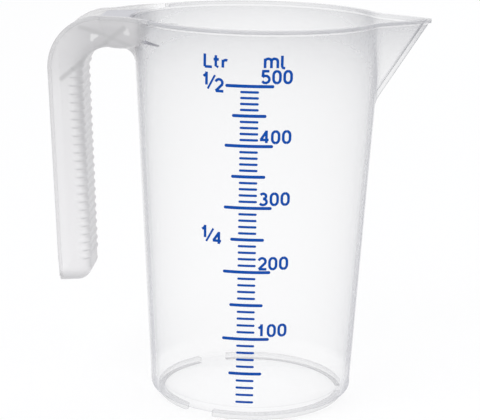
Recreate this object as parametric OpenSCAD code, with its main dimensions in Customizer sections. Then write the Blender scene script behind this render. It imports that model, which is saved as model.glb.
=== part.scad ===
// Half-litre measuring jug with a V-shaped spout and a hollow ribbed handle.
// The origin is on the cup's axis at the table. +Z is up, +X points to the spout,
// -X to the handle, and the printed scale faces -Y. The jug is one moulding, drawn
// here as regions that meet face to face, and the print is a thin skin on the wall.

/* [Cup] */
// Height of the rim above the table
cup_h = 135.5; // [125:0.5:150]
// Outside diameter where the wall's slant would meet the table
base_d = 71.3; // [66:0.1:76]
// Outside diameter of the wall at the rim
top_d = 85.8; // [82:0.1:92]
// Thickness of the moulded wall
wall_t = 1.3; // [1:0.1:1.8]

/* [Rim] */
// How far the rim stands out past the wall
lip_over = 0.94; // [0.4:0.02:1.4]
// Height of the rim's band
lip_h = 1.4; // [1:0.1:2]

/* [Base] */
// Distance of the foot ring inside the wall's outside at the table
foot_inset = 2.65; // [2:0.05:4]
// Width of the foot ring
foot_w = 2; // [1.5:0.1:3]
// Height of the foot ring
foot_h = 2.2; // [1.5:0.1:3]
// Angle of each of the three notches in the foot ring
notch_angle = 19.5; // [12:0.5:30]
// Thickness of the floor
floor_t = 1.9; // [1.4:0.1:2.5]
// Rise of the domed floor at its middle
floor_rise = 2; // [1:0.1:3]
// Radius of the outer bottom corner
corner_r = 2; // [1:0.1:2.4]
// Radius between the floor and the wall inside
inside_r = 3.5; // [2:0.1:5]

/* [Spout] */
// Depth below the rim where the keel leaves the wall
spout_drop = 28.6; // [24:0.2:34]
// How far the spout's nose stands out past the wall at the rim
nose_out = 16.3; // [14:0.1:18]
// How much of the keel's point is cut off at the blunt nose
nose_trim = 0.16; // [0.1:0.02:1]
// Direction that each side of the spout faces, from +X
side_angle = 53; // [50:0.5:56]
// Width of the flat along the keel
keel_flat = 1; // [0.6:0.1:2]
// Softness of the join between the spout and the cup
spout_blend = 2.5; // [1:0.1:3]

/* [Handle] */
// How far the handle's outer edge stands from the wall at the rim, at the upper bend
handle_out = 28.1; // [26:0.1:32]
// How far it stands from there at its lower end
handle_low_out = 24.7; // [22:0.1:28]
// Depth of the grip's channel at the upper bend, from its inner face to its outer edge
grip_depth = 11.3; // [10:0.1:13]
// Depth of the grip's channel at its lower end
grip_low_depth = 11; // [10:0.1:13]
// Height of the whole handle, from the rim down to its lower end
handle_drop = 94.7; // [80:0.2:105]
// Width across the side walls at the upper bend
handle_w = 24.2; // [21:0.1:27]
// Width across the side walls at the lower end
handle_low_w = 22.4; // [20:0.1:25]
// Width of the grip's inner face at the upper bend, between its sharp corners
grip_w = 21.6; // [18:0.1:23]
// Width of the grip's inner face at the lower end, between its sharp corners
grip_low_w = 20; // [17:0.1:21]
// Depth of the bridge below the rim, to its underside
bridge_drop = 11.4; // [9:0.1:13]
// Radius of the handle's upper bend, outside
bend_r = 18; // [15:0.5:20]
// Radius under the upper bend
under_bend_r = 9.8; // [7:0.2:11]
// Radius along the edges of the grip
edge_r = 4; // [2:0.1:5]
// Radius of the inner corner at the handle's lower end
low_inner_r = 5; // [4:0.5:9]
// Radius of the outer corner at the handle's lower end
low_outer_r = 1.3; // [0.5:0.1:3]
// Length of the side walls' flare, out from the wall at the rim
flare_len = 10.1; // [8:0.1:12]
// Angle from the handle's middle where the flared side walls meet the rim
horn_angle = 36.2; // [30:0.1:40]
// Length of the deck behind the rim
deck_len = 10.9; // [9:0.1:14]
// Radius between the bridge and the cup
root_r = 5; // [3:0.5:7]
// Overhang of the edge band along the grip
grip_lip_over = 0.4; // [0.2:0.1:0.9]
// Distance of the slanted brace's lower end from the handle's outer edge
brace_inset = 4.8; // [4:0.1:6]
// Depth of that end below the start of the bend
brace_drop = 1.2; // [1:0.1:3]
// Length of the slanted brace
brace_len = 29.2; // [22:0.2:30]
// Slant of the brace
brace_angle = 40.2; // [36:0.2:42]
// Depth of the falling brace's outer end below the rim
falling_drop = 4.6; // [4:0.1:6]
// Height of its inner end above the bridge's underside
falling_rise = 2; // [0:0.1:3]

/* [Grip ribs] */
// Distance from one rib to the next
rib_pitch = 2.93; // [2.4:0.01:3]
// Width of a rib
rib_w = 1.1; // [0.6:0.1:1.6]
// Height of a rib
rib_rise = 0.45; // [0.2:0.05:0.8]
// Distance from the handle's lower end to the first rib
rib_low_gap = 8.4; // [8:0.1:11]
// How far the ribs may run on past the start of the bend
rib_top_over = 2.6; // [0:0.1:3]

/* [Scale] */
// Height of the domed floor's mean level above the table, where the scale counts from
zero_z = 5.1; // [4.5:0.1:6]
// Height that the scale leaves free under the rim
scale_head = 15; // [12:0.5:17]
// Thickness of the ink
ink_t = 0.08; // [0.05:0.01:0.15]
// Length of a 10 ml mark
minor_len = 6.1; // [4:0.1:7]
// Length of a 50 ml mark
medium_len = 11.2; // [9:0.1:12]
// Length of a 100 ml mark
major_len = 15.8; // [13:0.1:17]
// Width of the 10 ml marks' line
minor_line = 0.8; // [0.5:0.05:1]
// Width of the 50 ml and 100 ml marks' line
major_line = 1.05; // [0.7:0.05:1.4]
// Height of the numerals
digit_h = 4.75; // [3.5:0.05:5]
// Width of a numeral
digit_w = 3.05; // [2:0.05:3.1]
// Distance from one numeral to the next
digit_pitch = 3.53; // [3.4:0.01:4]
// Line width of the numerals
digit_line = 0.88; // [0.6:0.02:1.2]
// Line width of a fraction's slash
slash_line = 0.68; // [0.5:0.02:1]
// Distance of the numerals from the middle of the marks
print_gap = 3.6; // [3:0.1:5]
// Height of the numerals above their mark
print_rise = 0.75; // [0.6:0.05:1]
// Height of the letters ml above the top mark
unit_rise = 5.6; // [5.5:0.1:7]
// Height of the letters Ltr above the top mark
litre_rise = 5.3; // [5.2:0.1:7]
// Distance of the letters Ltr's left edge from the middle of the marks
litre_out = 15.4; // [14:0.1:18]
// Distance of the litre fractions' left edge from the middle of the marks
fraction_out = 15.9; // [14:0.1:18]
// Drop of a fraction's upper figure below its mark
fraction_fall = 0.65; // [0:0.05:1]
// Drop of a fraction's lower figure below its upper one
fraction_drop = 1.8; // [1.5:0.1:3]

/* [Hidden] */

milky = [0.87, 0.87, 0.88, 0.75];
milky_base = [0.84, 0.85, 0.86, 0.75];
milky_handle = [0.88, 0.87, 0.89, 0.85];
blue = [0.27, 0.33, 0.72];

// Overrun of every cut past the surface that it opens
cut_over = 5;
// Facets of the round surfaces
fine = 180;
// Points on a small rounded corner, and facets of a mark's round ends
corner_steps = 6;
mark_fine = 16;

// The wall is a cone: its radius grows by this much for each unit of height
flare = (top_d - base_d)/2/cup_h;
wall_top_z = cup_h - lip_h;
base_top_z = foot_h + floor_t + inside_r;

// The keel climbs from the wall to the nose
nose_reach = top_d/2 + nose_out;
keel_foot_z = cup_h - spout_drop;
keel_steepness = spout_drop/(nose_reach + nose_trim - wall_r(keel_foot_z));

// The spout takes over from the wall above this height, and between these angles, where
// its sides have run out into the rim
spout_base_z = keel_foot_z - 2*spout_blend;
spout_margin = 2.5;
spout_angle = side_angle + spout_margin
    - acos(min(1, keel_sharp(cup_h)*cos(side_angle)/(top_d/2 - spout_blend)));

// The handle's stations stand between the cup and the bend, round it and down the grip.
// Its top edge falls a little from the rim to the bend.
handle_reach = top_d/2 + handle_out;
handle_low_reach = top_d/2 + handle_low_out;
grip_reach = handle_reach - grip_depth;
grip_low_reach = handle_low_reach - grip_low_depth;
handle_low_z = cup_h - handle_drop;
bridge_z = cup_h - bridge_drop;
top_fall = 0.6;
outer_bend = [-(handle_reach - bend_r), cup_h - top_fall - bend_r];
inner_bend = [-(grip_reach - under_bend_r), bridge_z - under_bend_r];

// The side walls spread towards the cup, and their start is a soft bend. The bridge's
// first station stands inside the cup, whose space cuts it off.
flare_start = top_d/2 + flare_len;
flare_slope = (top_d/2*sin(horn_angle) - handle_w/2)/(flare_start - top_d/2*cos(horn_angle));
flare_soft = 0.8;
horn_reach = min(base_d, top_d)/2 - 2*wall_t;
bridge_steps = 14;
bend_steps = 12;
grip_steps = 4;

// A point on the wall's outside at height z, as a radius
function wall_r(z) = base_d/2 + flare*z;
// The larger of two values, rounded off where they are about the same
function blend_max(a, b, soft) = max(a, b) + pow(max(soft - abs(a - b), 0), 2)/(4*soft);
function mix(a, b, t) = a + (b - a)*t;
function reverse(list) = [for (i = [len(list) - 1:-1:0]) list[i]];
function arc(centre, r, a0, a1, steps) =
    [for (i = [0:steps]) let (a = mix(a0, a1, i/steps)) centre + r*[cos(a), sin(a)]];

// A closed body through rings of points. Each ring lists one side of a wall and then
// the other side backwards, so its end faces are strips between the two.
module loft(rings) {
    count = len(rings[0]);
    last = (len(rings) - 1)*count;
    sides = [for (i = [0:len(rings) - 2], j = [0:count - 1])
        let (k = (j + 1) % count, low = i*count, high = low + count)
        each [[low + j, high + j, high + k], [low + j, high + k, low + k]]];
    first_cap = [for (j = [0:count/2 - 2])
        let (m = count - 1 - j)
        each [[j, j + 1, m - 1], [j, m - 1, m]]];
    last_cap = [for (face = first_cap) [for (i = reverse(face)) last + i]];
    polyhedron([for (ring = rings) each ring], concat(sides, first_cap, last_cap));
}

// Everything between two angles about the cup's axis, of a shape drawn as r and z
module sector(from, to) {
    rotate([0, 0, from]) rotate_extrude(angle = to - from, $fn = fine) children();
}

// The wall's section between two heights, with any overhang on its outside
module wall_strip(z0, z1, over) {
    polygon([
        [wall_r(z0) - wall_t, z0], [wall_r(z0) + over, z0],
        [wall_r(z1) + over, z1], [wall_r(z1) - wall_t, z1]
    ]);
}

// The space that the cup fills, for cutting the handle off at its wall
module cup_space() {
    rotate_extrude($fn = fine)
        polygon([[0, 0], [wall_r(0), 0], [wall_r(cup_h + cut_over), cup_h + cut_over],
            [0, cup_h + cut_over]]);
}

// Cup

module cup_wall() color(milky) difference() {
    rotate_extrude($fn = fine) wall_strip(base_top_z, wall_top_z, 0);
    sector(-spout_angle, spout_angle)
        translate([0, spout_base_z]) square([top_d, cup_h]);
}

module rim_lip() color(milky) for (side = [0, 1]) mirror([0, side, 0])
    sector(spout_angle, 180 - horn_angle) wall_strip(wall_top_z, cup_h, lip_over);

// Base

foot_r = base_d/2 - foot_inset;
floor_r = foot_r - foot_w - wall_t;
function floor_z(r) = foot_h + floor_rise*(1 - pow(min(r/floor_r, 1), 2));

module base_floor() color(milky_base) rotate_extrude($fn = fine) {
    inner_r = wall_r(base_top_z) - wall_t;
    outer_corner = [wall_r(foot_h + corner_r) - corner_r, foot_h + corner_r];
    inner_corner = [inner_r - inside_r, foot_h + floor_t + inside_r];
    dome_steps = 10;
    under = [for (i = [0:dome_steps]) let (r = floor_r*i/dome_steps) [r, floor_z(r)]];
    over = [for (p = reverse(under)) [p[0], p[1] + floor_t]];
    polygon(concat(
        under,
        arc(outer_corner, corner_r, -90, 0, corner_steps),
        [[wall_r(base_top_z), base_top_z]],
        arc(inner_corner, inside_r, 0, -90, corner_steps),
        over
    ));
}

module foot_ring() color(milky_base) for (i = [0:2])
    sector(120*i + notch_angle/2, 120*(i + 1) - notch_angle/2)
        translate([foot_r - foot_w, 0]) square([foot_w, foot_h]);

// Spout

// Reach of the keel's flat at height z, and of the point where the sides would meet
function keel_x(z) = wall_r(keel_foot_z) + (z - keel_foot_z)/keel_steepness;
function keel_sharp(z) = keel_x(z) + keel_flat/2*tan(side_angle);
// Radius of the spout's surface at an angle, a depth inside it or an overhang outside
function spout_r(a, z, inset, over) =
    let (
        lean = sqrt(1 + pow(cos(side_angle)/keel_steepness, 2)),
        side = (keel_sharp(z)*cos(side_angle) - inset*lean + over)/cos(side_angle - abs(a)),
        round = wall_r(z) - inset + over,
        keel = keel_x(z) - inset*sqrt(1 + 1/pow(keel_steepness, 2)) + over
    )
    min(blend_max(round, side, spout_blend),
        max(blend_max(round, keel, spout_blend), keel)/cos(a),
        nose_reach/cos(a));
function spout_point(a, z, inset, over) =
    let (r = spout_r(a, z, inset, over)) [r*cos(a), r*sin(a), z];

module spout_walls(from, to, z0, z1, steps, over) {
    turns = 24;
    loft([for (i = [0:steps])
        let (z = mix(z0, z1, i/steps))
        concat(
            [for (j = [0:turns]) spout_point(mix(from, to, j/turns), z, 0, over)],
            [for (j = [turns:-1:0]) spout_point(mix(from, to, j/turns), z, wall_t, 0)]
        )]);
}

module spout_side_front() color(milky)
    spout_walls(-spout_angle, 0, spout_base_z, wall_top_z, 16, 0);

module spout_side_back() color(milky)
    spout_walls(0, spout_angle, spout_base_z, wall_top_z, 16, 0);

module spout_lip() color(milky)
    spout_walls(-spout_angle, spout_angle, wall_top_z, cup_h, 1, lip_over);

// Handle

// Half width across the side walls at a distance from the cup's axis
function side_half(reach) =
    blend_max(handle_w/2, handle_w/2 + flare_slope*(flare_start - reach), flare_soft);
function top_z(reach) =
    let (level = top_d/2 + lip_over, t = (reach - level)/(-outer_bend[0] - level))
    cup_h - top_fall*min(max(t, 0), 1);

// A station is its inner point, outer point, half width at the edge, half width at the
// grip's corner, wall thickness across, and overhang of its edge band
function bridge_station(t) =
    let (
        low_reach = mix(horn_reach, -inner_bend[0], t),
        high_reach = mix(horn_reach, -outer_bend[0], t),
        low_half = side_half(low_reach),
        high_half = side_half(high_reach),
        across_t = high_half > handle_w/2 + flare_soft ? norm([1, flare_slope]) : 1
    )
    [[-low_reach, bridge_z], [-high_reach, top_z(high_reach)], high_half, low_half,
        wall_t*across_t, lip_over];
function bend_station(t) =
    let (a = mix(90, 180, t), turn = [cos(a), sin(a)])
    [inner_bend + under_bend_r*turn, outer_bend + bend_r*turn, handle_w/2,
        mix(side_half(-inner_bend[0]), grip_w/2, t), wall_t,
        mix(lip_over, grip_lip_over, t)];
function grip_station(t) =
    let (low = handle_low_z - cut_over)
    [[-mix(grip_reach, grip_low_reach, t), mix(inner_bend[1], low, t)],
        [-mix(handle_reach, handle_low_reach, t), mix(outer_bend[1], low, t)],
        mix(handle_w, handle_low_w, t)/2, mix(grip_w, grip_low_w, t)/2,
        wall_t, grip_lip_over];
bridge_stations = [for (i = [0:bridge_steps - 1]) bridge_station(i/bridge_steps)];
bend_stations = [for (i = [0:bend_steps]) bend_station(i/bend_steps)];
grip_stations = [for (i = [1:grip_steps]) grip_station(i/grip_steps)];
upper_stations = concat(bridge_stations, bend_stations);
lower_stations = concat(bend_stations, grip_stations);
all_stations = concat(bridge_stations, bend_stations, grip_stations);

// A section's sizes: its depth, the lean of its sides, and its corners' centres
function depth(s) = norm(s[1] - s[0]);
function lean(s) = atan2(s[2] - s[3], depth(s));
function corner_at(s, skin_in, skin_side, r) =
    let (a = lean(s), d = skin_in + r)
    [d, s[3] - skin_side/cos(a) + d*tan(a) - r/cos(a)];
function corner_arc(s, inset) =
    let (r = inset > 0 ? edge_r - wall_t : edge_r, skin_side = inset > 0 ? s[4] : 0)
    arc(corner_at(s, inset, skin_side, r), r, 90 + lean(s), 180, corner_steps);
function edge_half(s, inset, back) =
    s[2] - inset/cos(lean(s)) - back*tan(lean(s));
function flip(list) = [for (p = reverse(list)) [p[0], -p[1]]];
function place(s, list) =
    let (way = (s[1] - s[0])/depth(s))
    [for (p = list) [s[0][0] + way[0]*p[0], p[1], s[0][1] + way[1]*p[0]]];

function inner_ring(s) =
    let (out = corner_arc(s, 0), in = corner_arc(s, wall_t))
    place(s, concat(out, flip(out), reverse(concat(in, flip(in)))));
function side_ring(s) =
    let (out = corner_arc(s, 0)[0], in = corner_arc(s, wall_t)[0], d = depth(s) - lip_h)
    place(s, [[d, edge_half(s, 0, lip_h)], out, in, [d, edge_half(s, s[4], lip_h)]]);
function band_ring(s) =
    let (d = depth(s), high = edge_half(s, 0, 0) + s[5], low = edge_half(s, 0, lip_h) + s[5])
    place(s, [[d, high], [d - lip_h, low],
        [d - lip_h, edge_half(s, s[4], lip_h)], [d, edge_half(s, s[4], 0)]]);
function core_ring(s) =
    let (in = corner_arc(s, wall_t), edge = [[depth(s), edge_half(s, s[4], 0)]])
    place(s, concat(edge, in, flip(in), flip(edge)));

// The lower end is cut to this outline, drawn as reach and height
low_r = min(low_inner_r, grip_low_depth - low_outer_r);
low_inner = [-grip_low_reach - low_r, handle_low_z + low_r];
low_outer = [-handle_low_reach + low_outer_r, handle_low_z + low_outer_r];
module low_outline() {
    polygon(concat(
        [[-handle_reach - cut_over, cup_h + cut_over],
            [-handle_reach - cut_over, low_outer[1]]],
        arc(low_outer, low_outer_r, 180, 270, corner_steps),
        arc(low_inner, low_r, -90, 0, 2*corner_steps),
        [[low_inner[0] + low_r, cup_h + cut_over]]
    ));
}

// A flat shape drawn as reach and height, taken right across the handle
module across(width) {
    rotate([90, 0, 0]) linear_extrude(width, center = true) children();
}

module low_cut() {
    difference() {
        children();
        across(2*handle_w) difference() {
            translate([-handle_reach - 2*cut_over, handle_low_z - 2*cut_over])
                square([handle_reach, low_r + 2*cut_over]);
            low_outline();
        }
    }
}

module handle_grip() color(milky_handle)
    low_cut() loft([for (s = lower_stations) inner_ring(s)]);

module handle_side() {
    difference() {
        low_cut() loft([for (s = all_stations) side_ring(s)]);
        cup_space();
    }
}

module handle_side_front() color(milky_handle) mirror([0, 1, 0]) handle_side();

module handle_side_back() color(milky_handle) handle_side();

module handle_bridge_floor() color(milky_handle) difference() {
    loft([for (s = concat(bridge_stations, [bend_stations[0]])) inner_ring(s)]);
    cup_space();
}

module handle_edge_band() color(milky_handle) for (side = [0, 1])
    mirror([0, side, 0]) difference() {
        low_cut() loft([for (s = all_stations) band_ring(s)]);
        sector(0, 180 - horn_angle) translate([0, -cut_over]) square([top_d, 2*cup_h]);
    }

// The space inside the channel, which its cross pieces fill from side to side
module upper_core() {
    difference() {
        loft([for (s = upper_stations) core_ring(s)]);
        cup_space();
    }
}

deck_reach = top_d/2 + deck_len;
module handle_bridge_deck() color(milky_handle) intersection() {
    upper_core();
    across(2*top_d) translate([-deck_reach, wall_top_z - wall_t])
        square([deck_reach, wall_t]);
}

module plate(a, b) {
    length = norm(b - a);
    translate(a) rotate(atan2(b[1] - a[1], b[0] - a[0]))
        translate([0, -wall_t/2]) square([length, wall_t]);
}

// The two plates that cross inside the bend, as places along and below the handle
rising_low = [-handle_reach + brace_inset, bridge_z - under_bend_r - brace_drop];
rising_high = rising_low + brace_len*[cos(brace_angle), sin(brace_angle)];
module handle_cross_ribs() color(milky_handle) intersection() {
    upper_core();
    across(2*top_d) {
        plate(rising_low, rising_high);
        plate([-grip_reach, cup_h - falling_drop], [-top_d/2 + wall_t, bridge_z + falling_rise]);
    }
}

module handle_end_cap() color(milky_handle) intersection() {
    loft([for (s = lower_stations) core_ring(s)]);
    across(2*handle_w) intersection() {
        low_outline();
        polygon(concat(
            [[-handle_reach, handle_low_z]],
            arc(low_inner, low_r, -90, 0, 2*corner_steps),
            arc(low_inner, low_r - wall_t, 0, -90, 2*corner_steps),
            [[-handle_reach, handle_low_z + wall_t]]
        ));
    }
}

// The fillet under the bridge runs out tangent to the wall's slant
root_angle = 18;
module handle_root_fillet() color(milky_handle) sector(180 - root_angle, 180 + root_angle) {
    slant = atan(flare);
    centre = [wall_r(bridge_z - root_r) + root_r/cos(slant), bridge_z - root_r];
    polygon(concat(
        [[wall_r(bridge_z), bridge_z]],
        arc(centre, root_r, 90, 180 - slant, corner_steps)
    ));
}

first_rib_z = handle_low_z + rib_low_gap;
last_rib_z = inner_bend[1] + rib_top_over;
module handle_grip_ribs() color(milky_handle) for (z = [first_rib_z:rib_pitch:last_rib_z]) {
    low_z = handle_low_z - cut_over;
    t = (z - inner_bend[1])/(low_z - inner_bend[1]);
    s = grip_station(t);
    base = corner_arc(s, 0);
    raised = arc(corner_at(s, 0, 0, edge_r), edge_r + rib_rise, 90 + lean(s), 180,
        corner_steps);
    outline = concat(raised, flip(raised), reverse(concat(base, flip(base))));
    translate([s[0][0], 0, z]) linear_extrude(rib_w)
        polygon([for (p = outline) [-p[0], p[1]]]);
}

// Print

// Side of a millilitre's cube
ml_side = 10;
zero_r = wall_r(zero_z) - wall_t;
// Height of the mark for a volume in millilitres, from the volume of the inner cone
function mark_z(ml) =
    zero_z + (pow(3*flare*ml*pow(ml_side, 3)/PI + pow(zero_r, 3), 1/3) - zero_r)/flare;
// Volume in millilitres up to a height
function ml_at(z) =
    PI*(pow(wall_r(z) - wall_t, 3) - pow(zero_r, 3))/(3*flare)/pow(ml_side, 3);
// The scale ends on the last round hundred that fits under the rim
top_ml = 100*floor(ml_at(cup_h - scale_head)/100);

// The outside is a plain cone from here up
cone_low_z = foot_h + corner_r;
print_half_angle = asin((fraction_out + digit_line)/(base_d/2));
module ink() {
    color(blue) intersection() {
        sector(-90 - print_half_angle, -90 + print_half_angle) polygon([
            [wall_r(cone_low_z), cone_low_z],
            [wall_r(cone_low_z) + ink_t, cone_low_z],
            [wall_r(wall_top_z) + ink_t, wall_top_z],
            [wall_r(wall_top_z), wall_top_z]
        ]);
        translate([0, -base_d/4, 0]) rotate([90, 0, 0]) linear_extrude(top_d/2) children();
    }
}

module mark(length, line, z) {
    translate([0, z]) {
        square([length - line, line], center = true);
        for (side = [-1, 1]) translate([side*(length - line)/2, 0]) circle(line/2, $fn = mark_fine);
    }
}

module ten_ml_marks() ink() for (ml = [10:10:top_ml])
    if (ml % 50 != 0) mark(minor_len, minor_line, mark_z(ml));

module fifty_ml_marks() ink() for (ml = [50:100:top_ml])
    mark(medium_len, major_line, mark_z(ml));

module hundred_ml_marks() ink() for (ml = [100:100:top_ml])
    mark(major_len, major_line, mark_z(ml));

// Strokes of the numerals and letters run along points inside a box of digit_w by
// digit_h, given as shares of it, and each is a ribbon of the line's width
function stroke_way(points, i) =
    let (a = points[max(i - 1, 0)], b = points[min(i + 1, len(points) - 1)], v = b - a)
    [-v[1], v[0]]/norm(v);
function stroke_points(shares) =
    let (box = [digit_w - digit_line, digit_h - digit_line])
    [for (p = shares) [digit_line/2 + p[0]*box[0], digit_line/2 + p[1]*box[1]]];
module stroke(shares, line) {
    points = stroke_points(shares);
    half = line/2;
    ends = [for (i = [0:len(points) - 1]) stroke_way(points, i)*half];
    polygon(concat(
        [for (i = [0:len(points) - 1]) points[i] + ends[i]],
        reverse([for (i = [0:len(points) - 1]) points[i] - ends[i]])
    ));
}
function bow(x, y, rx, ry, a0, a1) =
    [for (i = [0:8]) let (a = mix(a0, a1, i/8)) [x + rx*cos(a), y + ry*sin(a)]];

// The strokes of the figures from 0 to 9, in shares of their box
digit_shares = [
    [
        concat([[0, 0.5]], bow(0.5, 0.66, 0.5, 0.34, 180, 90)),
        concat(bow(0.5, 0.66, 0.5, 0.34, 90, 0), [[1, 0.5]]),
        concat([[0, 0.5]], bow(0.5, 0.34, 0.5, 0.34, 180, 270)),
        concat(bow(0.5, 0.34, 0.5, 0.34, 270, 360), [[1, 0.5]])
    ],
    [[[0.62, 0], [0.62, 1.1]], [[0.15, 0.72], [0.45, 0.84], [0.62, 1.0]]],
    [concat(bow(0.5, 0.7, 0.52, 0.3, 165, -30), [[0, 0]]), [[0, 0], [1.18, 0]]],
    [bow(0.45, 0.77, 0.45, 0.23, 150, -90), bow(0.45, 0.27, 0.55, 0.27, 90, -150)],
    [[[0.76, 0], [0.76, 1.08]], [[0.76, 1], [-0.08, 0.28]], [[-0.2, 0.27], [1.1, 0.27]]],
    [
        [[1, 1], [0.1, 1]],
        [[0.14, 1.1], [0.04, 0.5]],
        bow(0.46, 0.31, 0.58, 0.31, 140, -150)
    ],
    [[[0.75, 1], [0.08, 0.45]], bow(0.5, 0.3, 0.5, 0.3, 150, -180)],
    [[[-0.05, 1], [1, 1]], [[0.95, 1], [0.3, 0]]],
    [bow(0.5, 0.76, 0.42, 0.24, 265, -85), bow(0.5, 0.27, 0.5, 0.27, 85, -265)],
    [[[0.25, 0], [0.92, 0.55]], bow(0.5, 0.7, 0.5, 0.3, -30, 300)]
];
module glyph(stroke_shares, line = digit_line) {
    for (shares = stroke_shares) stroke(shares, line);
}

module volume_numerals() ink() for (ml = [100:100:top_ml])
    translate([print_gap, mark_z(ml) + print_rise]) {
        glyph(digit_shares[ml/100]);
        translate([digit_pitch, 0]) glyph(digit_shares[0]);
        translate([2*digit_pitch, 0]) glyph(digit_shares[0]);
    }

// The strokes of the unit letters
m_shares = [
    [[0, 0], [0, 0.8]],
    [[0.93, 0], [0.93, 0.58]],
    [[1.86, 0], [1.86, 0.58]],
    bow(0.465, 0.57, 0.465, 0.22, 180, 0),
    bow(1.395, 0.57, 0.465, 0.22, 180, 0)
];
small_l_shares = [[[0, 1.05], [0, 0.14], [0.12, 0.02], [0.45, 0]]];
large_l_shares = [[[0.1, 0], [0.1, 1.08]], [[0.1, 0], [1.2, 0]]];
t_shares = [[[0.35, 1], [0.35, 0.12], [0.75, 0.02]], [[0, 0.66], [0.8, 0.66]]];
r_shares = [[[0.15, 0], [0.15, 0.66]], bow(0.6, 0.42, 0.45, 0.22, 160, 60)];
slash_shares = [[[0, -0.1], [1.1, 1.1]]];

module unit_letters() ink() translate([0, mark_z(top_ml)]) {
    translate([print_gap + print_rise, unit_rise]) {
        glyph(m_shares);
        translate([1.54*digit_pitch, 0]) glyph(small_l_shares);
    }
    translate([-litre_out, litre_rise]) {
        glyph(large_l_shares);
        translate([0.88*digit_pitch, 0]) glyph(t_shares);
        translate([1.66*digit_pitch, 0]) glyph(r_shares);
    }
}

// The half litre and the quarter litre, where the scale reaches them
module litre_fractions() ink() for (parts = [2, 4])
    if (1000/parts <= top_ml)
        translate([-fraction_out, mark_z(1000/parts) - fraction_fall]) {
            glyph(digit_shares[1]);
            translate([digit_pitch/2, -fraction_drop/2]) glyph(slash_shares, slash_line);
            translate([1.25*digit_pitch, -fraction_drop]) glyph(digit_shares[parts]);
        }

cup_wall();
rim_lip();
base_floor();
foot_ring();
spout_side_front();
spout_side_back();
spout_lip();
handle_grip();
handle_side_front();
handle_side_back();
handle_bridge_floor();
handle_bridge_deck();
handle_end_cap();
handle_cross_ribs();
handle_root_fillet();
handle_edge_band();
handle_grip_ribs();
ten_ml_marks();
fifty_ml_marks();
hundred_ml_marks();
volume_numerals();
unit_letters();
litre_fractions();
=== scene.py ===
import math

import bmesh
import bpy
import numpy as np
from mathutils import Matrix, Vector


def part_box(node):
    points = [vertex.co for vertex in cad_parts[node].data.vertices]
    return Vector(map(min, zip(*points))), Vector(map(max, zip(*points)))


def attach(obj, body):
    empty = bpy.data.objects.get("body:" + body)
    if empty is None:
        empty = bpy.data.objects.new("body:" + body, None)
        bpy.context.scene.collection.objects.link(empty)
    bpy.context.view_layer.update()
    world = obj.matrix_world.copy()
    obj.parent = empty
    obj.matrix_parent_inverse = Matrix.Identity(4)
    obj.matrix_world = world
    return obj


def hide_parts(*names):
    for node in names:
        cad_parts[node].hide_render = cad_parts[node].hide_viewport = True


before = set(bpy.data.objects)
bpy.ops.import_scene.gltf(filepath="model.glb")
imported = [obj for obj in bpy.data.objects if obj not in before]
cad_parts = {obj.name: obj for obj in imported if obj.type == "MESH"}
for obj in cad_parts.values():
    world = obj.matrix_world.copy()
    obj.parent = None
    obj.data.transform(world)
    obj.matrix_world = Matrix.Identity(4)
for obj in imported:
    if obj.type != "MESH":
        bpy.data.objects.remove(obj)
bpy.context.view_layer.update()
print("frame loaded, nodes:", len(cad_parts))

# Lengths below are in millimetres, as on a drawing, and become metres in addMesh
mm = 0.001


# Straight from a to b as t goes from 0 to 1.
def mix(a, b, t):
    return a + (b - a)*t


# 0 below low, 1 above high, and the curve 3tt - 2ttt between them.
def smoothStep(low, high, x):
    t = np.clip((x - low)/(high - low), 0, 1)
    return t*t*(3 - 2*t)


# The larger of two, with the crease between them filled by a parabola over a width of soft.
def blendMax(a, b, soft):
    return np.maximum(a, b) + np.maximum(soft - np.abs(a - b), 0)**2/(4*soft)


# Points on a circle about a centre, from one angle to another in degrees.
def arcPoints(centre, radius, start, end, count):
    a = np.radians(np.linspace(start, end, count))
    return np.stack([centre[0] + radius*np.cos(a), centre[1] + radius*np.sin(a)], axis=-1)


# Quads of a rows by columns grid of points, closed across its columns where wrap is set.
def gridFaces(rows, columns, wrap):
    i, j = np.meshgrid(np.arange(rows - 1), np.arange(columns if wrap else columns - 1), indexing="ij")
    k = (j + 1) % columns
    row, nextRow = i*columns, (i + 1)*columns
    return np.stack([row + j, row + k, nextRow + k, nextRow + j], axis=-1).reshape(-1, 4)


# The same closed across its columns, with the first and last rows capped by strips.
def loopFaces(rows, columns):
    sides = gridFaces(rows, columns, True)
    j = np.arange(columns//2 - 1)
    m = columns - 1 - j
    cap = np.stack([j, m, m - 1, j + 1], axis=-1)
    return list(sides) + list(cap) + list(cap[:, ::-1] + (rows - 1)*columns)


# Several loops of the same size in one mesh: all their points, and the faces of each.
def joinLoops(loops):
    rows, columns = loops[0].shape[:2]
    faces = np.array(loopFaces(rows, columns))
    return np.array(loops), [f for i in range(len(loops)) for f in faces + i*rows*columns]


# Joins points that are closer than 2 microns, and turns every face outwards.
def tidyNormals(piece):
    work = bmesh.new()
    work.from_mesh(piece.data)
    bmesh.ops.remove_doubles(work, verts=work.verts, dist=0.002*mm)
    bmesh.ops.dissolve_degenerate(work, edges=work.edges, dist=0.001*mm)
    bmesh.ops.recalc_face_normals(work, faces=work.faces)
    work.to_mesh(piece.data)
    work.free()


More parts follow.
